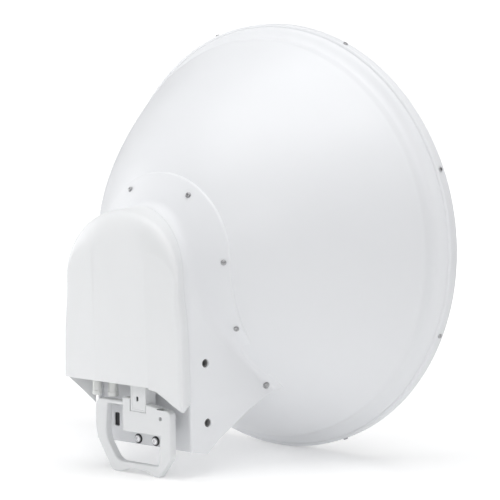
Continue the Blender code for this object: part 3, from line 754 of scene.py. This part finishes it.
def hood_form():
    """The hood as a solid, before its underside is cut."""
    seam = mirrored(hub_half(COVER_STEP, COVER_LOW))
    lip = mirrored(arched_half(LIP_HALF_WIDTH, LIP_KNEE_HALF_WIDTH, LIP_FOOT_HALF_WIDTH, LIP_CREST,
                               LIP_ARCH_CENTRE, COVER_LOW, LIP_ARCH_POWER))
    count = len(seam)
    lines = []
    for k in range(count):
        along = Vector(lip[(k + 1) % count]) - Vector(lip[k - 1])
        inward = Vector((along.y, -along.x)).normalized()
        lines.append(hood_line(seam[k], lip[k], inward))
    form = lofted("radio_hood", [[line[i] for line in lines] for i in range(len(lines[0]))])
    start_edit(form)
    for side in (1, -1):
        pick_faces(lambda face: abs(face.normal.y) > 0.9 and face.calc_center_median().y < LIP_Y
                   and len(face.verts) > 4)
        bpy.ops.mesh.bisect(plane_co=(side * FACE_HALF_WIDTH, 0, 0), plane_no=(1, 0, 0))
    pick_verts(lambda co: abs(abs(co.x) - FACE_HALF_WIDTH) < NEAR and co.y < FACE_Y + 1.5 * MM)
    bpy.ops.transform.resize(value=(1, 0, 1), center_override=(0, FACE_Y, 0))
    tidy_edit(NEARER)
    end_edit()
    return form


def make_seam_shade():
    """A dark grey sheet in the gap between the hood and the hub: painted shade for the shadow in the seam,
    which shows as a dark line.
    """
    outline = [(x, z) for x, z in mirrored(hub_half(-0.9 * MM, HUB_LOW)) if z > SEAM_SHADE_END]
    ys = (HUB_REAR_Y - SEAM_GAP + 0.05 * MM, HUB_REAR_Y - 0.05 * MM)
    shade_sheet = lofted("seam_shade_sheet", [[(x, y, z) for x, z in outline] for y in ys], filled=False)
    start_edit(shade_sheet)
    pick_faces(lambda face: face.normal.z < -0.5 and face.calc_center_median().z < 0)
    bpy.ops.mesh.delete(type="FACE")
    end_edit()
    finish_modifier(shade_sheet, "SOLIDIFY", thickness=2 * MM, offset=-1, use_even_offset=True)
    smooth(shade_sheet, 30)
    placed(shade_sheet, painted_seam_shade, "cover_plastic")


def mark(obj, index):
    """Gives all the piece's faces one of two plain marks, so that cut faces can be told apart later."""
    while len(obj.data.materials) < 2:
        obj.data.materials.append(None)
    start_edit(obj)
    pick_all()
    obj.active_material_index = index
    bpy.ops.object.material_slot_assign()
    end_edit()


def make_hood():
    hood = hood_form()
    mark(hood, 0)
    ahead = HUB_REAR_Y + 10 * MM
    fall = (COVER_HEEL - COVER_BOTTOM) / (HUB_REAR_Y - COVER_SLOPE_Y)
    below = [(-FAR, COVER_BOTTOM), (COVER_SLOPE_Y, COVER_BOTTOM), (ahead, COVER_HEEL + fall * 10 * MM),
             (ahead, -FAR), (-FAR, -FAR)]
    wide = 0.35
    under = extruded("under", [(-wide, y, z) for y, z in below], (wide + FLAP_EDGE[0][0] * MM, 0, 0))
    mark(under, 1)
    cut_away(hood, under)
    inner_x = (FLAP_EDGE[0][0] - 1) * MM
    edge = [(inner_x, COVER_BOTTOM)] + [(x * MM, z * MM) for x, z in FLAP_EDGE]
    edge += [(FAR, FLAP_EDGE[-1][1] * MM), (FAR, -FAR), (inner_x, -FAR)]
    flap = extruded("flap", [(x, -FAR, z) for x, z in edge], (0, FAR + ahead, 0))
    start_edit(flap)
    pick_verts(lambda co: co.y > HUB_REAR_Y and co.z > -FAR * 0.9)
    bpy.ops.transform.translate(value=(0, 0, FLAP_HEEL - FLAP_EDGE[-1][1] * MM))
    end_edit()
    mark(flap, 1)
    cut_away(hood, flap)
    start_edit(hood)
    pick_faces(lambda face: face.material_index == 1
               or face.normal.y > 0.9 and face.calc_center_median().y > HUB_REAR_Y - 2 * MM)
    bpy.ops.mesh.delete(type="FACE")
    for side in (1, -1):
        pick_faces(lambda face: face.normal.y < -0.9)
        bpy.ops.mesh.bisect(plane_co=(-FACE_HALF_WIDTH + side * GROOVE_WIDTH / 2, 0, 0), plane_no=(1, 0, 0))
    pick_verts(lambda co: abs(co.x + FACE_HALF_WIDTH) < 0.05 * MM and co.y < FACE_Y + 0.2 * MM
               and co.z < LIP_CREST - CREST_ROUND)
    bpy.ops.transform.translate(value=(0, GROOVE_DEPTH, 0))
    end_edit()
    finish_modifier(hood, "SOLIDIFY", thickness=COVER_WALL, offset=-1, use_even_offset=True,
                    use_quality_normals=True)
    start_edit(hood)
    tidy_edit(NEARER)
    pick_edges(lambda edge: all(abs(v.co.x - FACE_HALF_WIDTH) < 0.05 * MM and v.co.y < FACE_Y + 1 * MM
                                and v.co.z < LIP_CREST - CREST_ROUND * 0.8 for v in edge.verts))
    bpy.ops.mesh.mark_sharp()
    end_edit()
    smooth(hood, 25)
    placed(hood, hood_skin, "cover_plastic", "radio_cover")


# Handle with the plate round the port block

def handle_outer():
    w = HANDLE_HALF_WIDTH
    foot = HANDLE_FOOT_Z
    arch_top = foot + 6.5 * MM
    step = (PORT_LEFT + PORT_RIGHT) / 2
    return rounded([(-w, HANDLE_TOP, 15 * MM), (-w, -261 * MM, 60 * MM), (-41 * MM, foot, 10 * MM),
                    (-26 * MM, foot, 8 * MM), (-8 * MM, arch_top, 14 * MM), (26 * MM, arch_top, 14 * MM),
                    (40 * MM, foot, 8 * MM), (50 * MM, foot, 3 * MM), (w, -284 * MM, 12 * MM),
                    (w, HANDLE_TOP - 6 * MM, 9 * MM), (PORT_RIGHT + 3 * MM, HANDLE_TOP, 0),
                    (step, HANDLE_TOP, 0), (step, PLATE_EAR_TOP, 0),
                    (PLATE_LEFT, PLATE_EAR_TOP, 4 * MM), (PLATE_LEFT, HANDLE_TOP, 0)])


def handle_inner():
    i = HANDLE_INNER
    top = HANDLE_TOP - HANDLE_BAR
    return rounded([(4 * MM - i, top, 3.5 * MM), (-i, -262 * MM, 45 * MM), (-29 * MM, HANDLE_BAR_Z, 22 * MM),
                    (i - 4 * MM, HANDLE_BAR_Z, 4 * MM), (i, PLATE_BOTTOM, 0), (PLATE_LEFT, PLATE_BOTTOM, 0),
                    (PLATE_LEFT, top, 0)])


def make_handle():
    front = HANDLE_REAR_Y + HANDLE_DEPTH
    ring = extruded("carry_handle", [(x, HANDLE_REAR_Y, z) for x, z in handle_outer()], (0, HANDLE_DEPTH, 0))
    start_edit(ring)
    pick_verts(lambda co: co.y > front - 1 * MM and co.z < HANDLE_BAR_Z)
    bpy.ops.transform.translate(value=(0, 0, -HANDLE_DEPTH * math.tan(LEAN)))
    end_edit()
    hole = [(x, HANDLE_REAR_Y - 5 * MM, z) for x, z in handle_inner()]
    cut_away(ring, extruded("opening", hole, (0, HANDLE_DEPTH + 10 * MM, 0)))
    start_edit(ring)
    pick_all()
    bpy.ops.mesh.dissolve_limited(angle_limit=math.radians(0.2))
    pick_edges(lambda edge: edge.calc_face_angle(0) > 1
               and (on_plane(edge, HANDLE_REAR_Y) or on_plane(edge, front)))
    bpy.ops.mesh.bevel(offset=HANDLE_EDGE, offset_type="OFFSET", segments=5, profile=0.5)
    tidy_edit(NEARER)
    end_edit()
    left = PORT_LEFT - PORT_GAP
    right = PORT_RIGHT + PORT_GAP
    low = PORT_BOTTOM - SEAT_GAP
    notch = [(left, low), (right, low), (right, low + 40 * MM), (left, low + 40 * MM)]
    cut_away(ring, extruded("notch", [(x, HANDLE_REAR_Y - 5 * MM, z) for x, z in notch],
                            (0, HANDLE_DEPTH + 10 * MM, 0)))
    pocket = [(PLATE_LEFT + PLATE_WALL, PLATE_BOTTOM + PLATE_WALL), (HANDLE_INNER, PLATE_BOTTOM + PLATE_WALL),
              (HANDLE_INNER, PORT_BOTTOM - PLATE_WALL), (PLATE_LEFT + PLATE_WALL, PORT_BOTTOM - PLATE_WALL)]
    cut_away(ring, extruded("pocket", [(x, HANDLE_REAR_Y + PLATE_WALL, z) for x, z in pocket],
                            (0, HANDLE_DEPTH, 0)))
    slit = rounded(PLATE_SLIT, 3)
    cut_away(ring, extruded("slit", [(x * MM, HANDLE_REAR_Y - 2 * MM, z * MM) for x, z in slit],
                            (0, 12 * MM, 0)))
    sink_place = Vector((PLATE_SCREW_X, HANDLE_REAR_Y, PLATE_SCREW_Z))
    cut_away(ring, rod("sink", 3.1 * MM, 3.6 * MM, sink_place, (0, -1, 0)))
    smooth(ring, 30)
    placed(ring, handle_skin, "handle_plastic", "handle")
    dot = screw("plate_screw", 2.7 * MM, 1.5 * MM)
    turn_to(dot, Vector((PLATE_SCREW_X, HANDLE_REAR_Y + 1.75 * MM, PLATE_SCREW_Z)), (0, -1, 0))
    placed(dot, screw_steel, "screw_steel")


def on_plane(edge, y):
    return all(abs(v.co.y - y) < NEAR for v in edge.verts)


def pick_edges(test):
    """Selects the edges of the mesh being edited that pass the test."""
    bpy.ops.mesh.select_mode(type="EDGE")
    bpy.ops.mesh.select_all(action="DESELECT")
    bm = bmesh.from_edit_mesh(bpy.context.object.data)
    for edge in bm.edges:
        edge.select = bool(test(edge))
    bm.select_flush_mode()
    bmesh.update_edit_mesh(bpy.context.object.data)


# Screws and bolts

def screw(name, radius, height, washer=0.0):
    """A pan head screw with a cross recess, its head to the rear of its seat at the origin."""
    base = 0.0
    profile = [(0, 0)]
    if washer:
        base = -0.8 * MM
        profile += [(washer, 0), (washer, base + 0.15 * MM), (washer - 0.15 * MM, base)]
    profile += [(radius, base), (radius, base - height * 0.35)]
    for k in range(1, 6):
        a = math.radians(90 * k / 6)
        profile.append((radius * (0.62 + 0.38 * math.cos(a)), base - height * (0.35 + 0.65 * math.sin(a))))
    profile += [(radius * 0.6, base - height), (0, base - height)]
    head = turned(name, profile, 40)
    arm = radius * 0.68
    half = radius * 0.19
    cross = [(half, arm), (half, half), (arm, half), (arm, -half), (half, -half), (half, -arm),
             (-half, -arm), (-half, -half), (-arm, -half), (-arm, half), (-half, half), (-half, arm)]
    top = base - height
    cutter = extruded("cross", [(x, top - 1 * MM, z) for x, z in cross], (0, 1 * MM + height * 0.6, 0))
    start_edit(cutter)
    pick_verts(lambda co: co.y > top - 0.5 * MM)
    bpy.ops.transform.resize(value=(0.55, 1, 0.55), center_override=(0, 0, 0))
    end_edit()
    cut_away(head, cutter)
    smooth(head, 35)
    return head


def copy_of(obj, name):
    """A copy with its own mesh."""
    only(obj)
    bpy.ops.object.duplicate(linked=False)
    copy = bpy.context.object
    copy.name = name
    return copy


def make_screws(seats):
    first = screw("rim_screw", 3.6 * MM, 2.3 * MM)
    for k in range(RIM_SCREWS):
        angle = math.radians(22.5 + 45 * k)
        out = Vector((math.cos(angle), 0, math.sin(angle)))
        piece = copy_of(first, "rim_screw_%d_head" % (k + 1))
        turn_to(piece, out * (RIM_RADIUS - 0.1 * MM) + Vector((0, BAND_WIDTH / 2, 0)), out)
        placed(piece, screw_steel, "screw_steel", nearest_node("rim_screw_", piece))
    bpy.data.objects.remove(first, do_unlink=True)
    first = screw("hub_screw", 3.4 * MM, 2.2 * MM, washer=4.2 * MM)
    for name, (seat, normal) in seats.items():
        piece = copy_of(first, name + "_head")
        turn_to(piece, Vector(seat) + Vector(normal) * 0.2 * MM, normal)
        placed(piece, screw_steel, "screw_steel", name)
    bpy.data.objects.remove(first, do_unlink=True)


def nearest_node(start, piece):
    """The node with this start of its name whose box lies nearest the piece."""
    middle = sum((v.co for v in piece.data.vertices), Vector()) / len(piece.data.vertices)
    lean = Vector((middle.x, 0, 0))
    lean.y = AXIS_PLACE.y + middle.y * math.cos(LEAN) - middle.z * math.sin(LEAN)
    lean.z = AXIS_PLACE.z + middle.y * math.sin(LEAN) + middle.z * math.cos(LEAN)
    names = [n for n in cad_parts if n.startswith(start)]
    return min(names, key=lambda n: ((Vector(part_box(n)[0]) + Vector(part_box(n)[1])) / 2 - lean).length)


def make_bolts():
    seat = HUB_REAR_Y + HUB_RECESS - SEAT_GAP
    washer_top = -0.9 * MM
    for side, word in ((1, "right"), (-1, "left")):
        place = Vector((side * BOLT_X, seat, BOLT_Z))
        r = BOLT_RADIUS - 1.5 * MM
        profile = [(0, 0), (r - 1 * MM, 0), (r - 1 * MM, washer_top), (r, washer_top - 0.05 * MM),
                   (r, -2.4 * MM), (r - 0.3 * MM, -3.1 * MM), (r - 1.1 * MM, -3.4 * MM), (0, -3.4 * MM)]
        head = turned("handle_bolt_%s_head" % word, profile, 48)
        six = [(2.9 * MM * math.cos(math.radians(60 * k)), 2.9 * MM * math.sin(math.radians(60 * k)))
               for k in range(6)]
        cut_away(head, extruded("socket", [(x, -6 * MM, z) for x, z in six], (0, 4.8 * MM, 0)))
        smooth(head, 35)
        turn_to(head, place, (0, -1, 0))
        placed(head, bolt_steel, "bolt_steel", "handle_bolt_" + word)
        wide = BOLT_RADIUS + 0.6 * MM
        rim = [(r - 0.8 * MM, 0), (wide, 0), (wide, washer_top + 0.4 * MM), (wide - 0.4 * MM, washer_top),
               (r - 0.8 * MM, washer_top)]
        washer = turned("handle_bolt_%s_washer" % word, rim, 48)
        smooth(washer, 35)
        turn_to(washer, place, (0, -1, 0))
        placed(washer, dark_rubber_and_shade, "bolt_steel")


def make_inserts():
    """Threaded inserts sunk into the bracket holes."""
    for side, word in ((1, "right"), (-1, "left")):
        for (y, z), place in zip(BRACKET_HOLES, ("upper", "lower")):
            outer = BRACKET_HOLE_RADIUS - 0.1 * MM
            inner = 4 * MM
            profile = [(inner, 0.6 * MM), (inner + 0.5 * MM, 0), (outer - 0.4 * MM, 0), (outer, 0.4 * MM),
                       (outer, 12 * MM), (inner, 12 * MM)]
            for k in range(9):
                y_turn = 11.4 * MM - 1.2 * MM * k
                profile += [(inner, y_turn), (inner + 0.35 * MM, y_turn - 0.6 * MM)]
            insert = turned("bracket_insert_%s_%s" % (place, word), profile, 40)
            smooth(insert, 30)
            seat = wall_point(side, y * MM, z * MM) - Vector((side * 1.1 * MM, 0, 0))
            turn_to(insert, seat, Vector((side, 0, 0)))
            placed(insert, insert_metal, "screw_steel")


# Radio, glands and port block

def make_radio():
    front = HUB_REAR_Y + HUB_RECESS - SEAT_GAP
    profile = [(front, RADIO_BOTTOM), (front, RADIO_TOP), (RADIO_DEEP_Y, RADIO_TOP),
               (RADIO_DEEP_Y, RADIO_BAY_TOP), (RADIO_REAR_Y, RADIO_BAY_TOP), (RADIO_REAR_Y, RADIO_BOTTOM)]
    body = extruded("radio_block", [(-RADIO_HALF_WIDTH, y, z) for y, z in profile],
                    (2 * RADIO_HALF_WIDTH, 0, 0))
    finish_modifier(body, "BEVEL", width=2 * MM, segments=4, limit_method="ANGLE",
                    angle_limit=math.radians(40))
    low = RADIO_BAY_TOP / MM + 8
    high = RADIO_TOP / MM - 8
    for k in range(-4, 5):
        left = k * COOLING_PITCH - COOLING_HALF_WIDTH
        right = k * COOLING_PITCH + COOLING_HALF_WIDTH
        groove = rounded([(left, low, 1), (right, low, 1), (right, high, 1), (left, high, 1)], 2)
        cut_away(body, extruded("groove", [(x * MM, RADIO_DEEP_Y - 3 * MM, z * MM) for x, z in groove],
                                (0, 10 * MM, 0)))
    smooth(body, 35)
    placed(body, radio_casting, "radio_metal", "radio_body")


def make_gland(name, node, radius, x, y, low):
    hang = RADIO_BOTTOM - SEAT_GAP
    length = hang - low
    neck = radius - 0.5 * MM
    bore = radius * 0.5
    profile = [(0, 0), (radius, 0), (radius, 3 * MM), (neck, 3.5 * MM), (neck, length - 7 * MM),
               (radius, length - 6.5 * MM), (radius, length - 1.2 * MM), (neck, length - 0.4 * MM),
               (radius - 1.2 * MM, length), (radius * 0.55, length), (bore, length - 0.6 * MM),
               (bore, length - 4 * MM), (0, length - 4 * MM)]
    gland = turned(name, [(r, -u) for r, u in profile], 48)
    smooth(gland, 35)
    turn_to(gland, Vector((x, y, hang)), (0, 0, -1))
    placed(gland, gland_finish, "gland_metal", node)


def make_port_block():
    rear = HANDLE_REAR_Y + 0.5 * MM
    hang = RADIO_BOTTOM - SEAT_GAP
    corners = [(PORT_LEFT, PORT_BOTTOM), (PORT_RIGHT, PORT_BOTTOM), (PORT_RIGHT, hang), (PORT_LEFT, hang)]
    block = extruded("port_box", [(x, rear, z) for x, z in corners], (0, PORT_FRONT_Y - rear, 0))
    start_edit(block)
    pick_all()
    bpy.ops.mesh.bevel(offset=0.6 * MM, segments=3, profile=0.5, affect="EDGES")
    pick_faces(lambda face: face.normal.y < -0.999 and face.calc_area() > 1e-4)
    bpy.ops.mesh.inset(thickness=2.2 * MM)
    bpy.ops.mesh.inset(thickness=0.35 * MM, depth=-0.5 * MM)
    end_edit()
    hole = rounded(PORT_HOLE)
    cut_away(block, extruded("hole", [(x * MM, rear - 2 * MM, z * MM) for x, z in hole], (0, 14 * MM, 0)))
    smooth(block, 30)
    placed(block, port_skin, "radio_metal", "port_block")
    inside = [(x * MM, rear + 2.2 * MM, z * MM) for x, z in rounded(PORT_SOCKET)]
    socket = extruded("port_socket", inside, (0, 9.5 * MM, 0))
    start_edit(socket)
    pick_faces(lambda face: face.normal.y < -0.9)
    bpy.ops.mesh.inset(thickness=0.8 * MM)
    bpy.ops.mesh.inset(thickness=0.2 * MM, depth=-3 * MM)
    end_edit()
    smooth(socket, 30)
    placed(socket, dark_rubber_and_shade, "radio_metal")


make_dish()
make_radome()
screw_seats = make_hub()
make_hood()
make_seam_shade()
make_handle()
make_screws(screw_seats)
make_bolts()
make_inserts()
make_radio()
make_gland("gland_small_nut", "gland_small", 7 * MM, -63.5 * MM, -347 * MM, -201.5 * MM)
make_gland("gland_large_nut", "gland_large", 8 * MM, -45.5 * MM, -332 * MM, -204 * MM)
make_port_block()


# Floor, light and camera

SKY_STRENGTH = 0.216
FLOOR_GLOW = 0.167
NEAR_WASH = 0.02
FAR_WASH = 0.8
WASH_START = 0.5
WASH_END = 2.6
LENS = 242.86
SENSOR = 36
CAMERA_PLACE = (3.20197, AXIS_PLACE.y - 4.00942642, 0.90522357)
CAMERA_TURN = (83.30541178, -0.96610033, 39.20134230)


def make_stage():
    """A sheet of white paper with a faint glow, brighter to the camera away from the antenna."""
    bpy.ops.object.select_all(action="DESELECT")
    bpy.ops.mesh.primitive_plane_add(size=60, location=(0, 0, 0))
    floor = bpy.context.object
    floor.name = "studio_floor"
    paper = bpy.data.materials.new("studio_paper")
    paper.use_nodes = True
    nodes, links = paper.node_tree.nodes, paper.node_tree.links
    shader = nodes["Principled BSDF"]
    shader.inputs["Roughness"].default_value = 0.9
    shader.inputs["Specular IOR Level"].default_value = 0.1
    shader.inputs["Emission Color"].default_value = (1, 1, 1, 1)
    shader.inputs["Emission Strength"].default_value = FLOOR_GLOW
    fibre = nodes.new("ShaderNodeTexNoise")
    fibre.inputs["Scale"].default_value = 300
    tone = nodes.new("ShaderNodeMix")
    tone.data_type = "RGBA"
    tone.inputs["A"].default_value = (0.93, 0.93, 0.93, 1)
    tone.inputs["B"].default_value = (0.95, 0.95, 0.95, 1)
    links.new(fibre.outputs["Fac"], tone.inputs["Factor"])
    links.new(tone.outputs["Result"], shader.inputs["Base Color"])
    place = nodes.new("ShaderNodeTexCoord")
    distance = nodes.new("ShaderNodeVectorMath")
    distance.operation = "LENGTH"
    links.new(place.outputs["Object"], distance.inputs[0])
    fade = nodes.new("ShaderNodeMapRange")
    fade.inputs["From Min"].default_value = WASH_START
    fade.inputs["From Max"].default_value = WASH_END
    fade.inputs["To Min"].default_value = NEAR_WASH
    fade.inputs["To Max"].default_value = FAR_WASH
    links.new(distance.outputs["Value"], fade.inputs["Value"])
    rays = nodes.new("ShaderNodeLightPath")
    seen = nodes.new("ShaderNodeMath")
    seen.operation = "MULTIPLY"
    links.new(fade.outputs["Result"], seen.inputs[0])
    links.new(rays.outputs["Is Camera Ray"], seen.inputs[1])
    wash = nodes.new("ShaderNodeEmission")
    links.new(seen.outputs[0], wash.inputs["Strength"])
    both = nodes.new("ShaderNodeAddShader")
    links.new(shader.outputs["BSDF"], both.inputs[0])
    links.new(wash.outputs["Emission"], both.inputs[1])
    links.new(both.outputs["Shader"], nodes["Material Output"].inputs["Surface"])
    floor.data.materials.append(paper)


def softbox(name, place, size, power):
    """A soft square light of so many metres and watts, turned towards the antenna."""
    lamp = bpy.data.lights.new(name, "AREA")
    lamp.shape = "SQUARE"
    lamp.size = size
    lamp.energy = power
    light = bpy.data.objects.new(name, lamp)
    light.location = place
    aim = Vector((0, 0, 0.3)) - light.location
    light.rotation_euler = aim.to_track_quat("-Z", "Y").to_euler()
    bpy.context.scene.collection.objects.link(light)


def make_lights():
    world = bpy.data.worlds.new("studio_sky")
    bpy.context.scene.world = world
    world.use_nodes = True
    sky = world.node_tree.nodes["Background"]
    sky.inputs["Color"].default_value = (0.99, 0.995, 1.0, 1)
    sky.inputs["Strength"].default_value = SKY_STRENGTH
    nodes, links = world.node_tree.nodes, world.node_tree.links
    backdrop = nodes.new("ShaderNodeBackground")
    backdrop.inputs["Color"].default_value = (1, 1, 1, 1)
    path = nodes.new("ShaderNodeLightPath")
    seen = nodes.new("ShaderNodeMixShader")
    links.new(path.outputs["Is Camera Ray"], seen.inputs["Fac"])
    links.new(sky.outputs["Background"], seen.inputs[1])
    links.new(backdrop.outputs["Background"], seen.inputs[2])
    links.new(seen.outputs["Shader"], nodes["World Output"].inputs["Surface"])
    softbox("softbox_above", (0.2, -0.2, 2.8), 2.6, 46)
    softbox("softbox_above_right", (1.8, 0.4, 2.4), 2.4, 16)
    softbox("softbox_left", (-3.2, -1.0, 0.9), 2.0, 49)
    softbox("softbox_front_left", (-1.6, -3.2, 1.4), 2.2, 10)
    softbox("softbox_front", (2.4, -3.4, 2.2), 2.2, 33)
    softbox("softbox_behind", (0.2, 3.4, 1.6), 2.4, 16)


def make_camera():
    lens = bpy.data.cameras.new("camera")
    lens.lens = LENS
    lens.sensor_width = SENSOR
    lens.clip_end = 60
    camera = bpy.data.objects.new("camera", lens)
    camera.location = CAMERA_PLACE
    camera.rotation_euler = tuple(math.radians(a) for a in CAMERA_TURN)
    bpy.context.scene.collection.objects.link(camera)
    bpy.context.scene.camera = camera


make_stage()
make_lights()
make_camera()
bpy.context.scene.view_settings.view_transform = "Standard"
